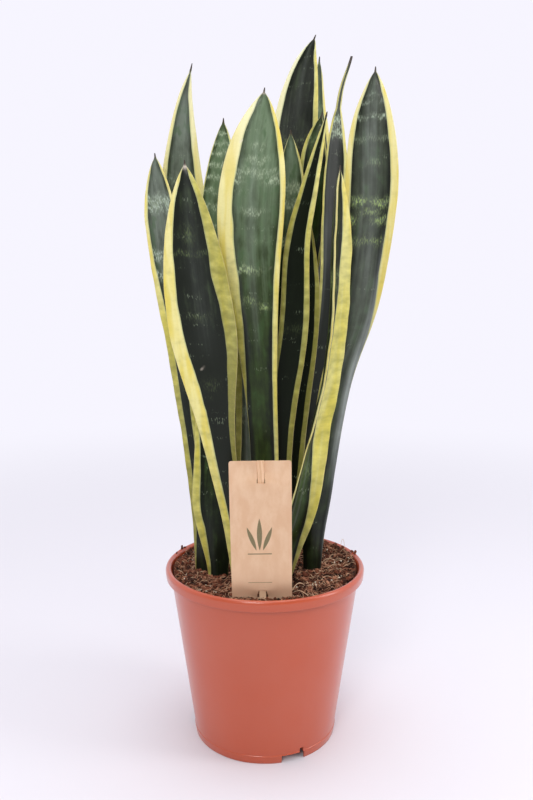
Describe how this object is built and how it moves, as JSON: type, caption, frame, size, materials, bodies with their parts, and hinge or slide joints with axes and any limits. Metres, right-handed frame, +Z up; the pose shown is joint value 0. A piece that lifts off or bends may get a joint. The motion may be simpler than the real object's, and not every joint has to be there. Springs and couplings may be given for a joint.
{
  "type": "potted black gold snake plant",
  "caption": "Upright sword-leaved snake plant with yellow leaf margins, standing in the soil of a round nursery pot with a card tag on a stick.",
  "frame": {"origin": "The middle of the pot's foot, on the surface it stands on.", "axes": "+Z up along the pot's axis, -Y towards the front with the card tag, +X to the right seen from the front."},
  "size_m": [0.251, 0.21, 0.734],
  "materials": {
    "pot_plastic": "satin moulded plastic, terracotta coloured",
    "potting_mix": null,
    "leaf": null,
    "kraft_card": null,
    "stick_wood": "plain sanded softwood"
  },
  "bodies": {
    "root": {"pot": "pot_plastic", "soil": "potting_mix", "leaf_01": "leaf", "leaf_02": "leaf", "leaf_03": "leaf", "leaf_04": "leaf", "leaf_05": "leaf", "leaf_06": "leaf", "leaf_07": "leaf", "leaf_08": "leaf", "leaf_09": "leaf", "leaf_10": "leaf", "leaf_11": "leaf", "leaf_12": "leaf", "leaf_13": "leaf", "leaf_14": "leaf", "leaf_15": "leaf", "tag_card": "kraft_card", "tag_stick": "stick_wood"}
  },
  "joints": []
}
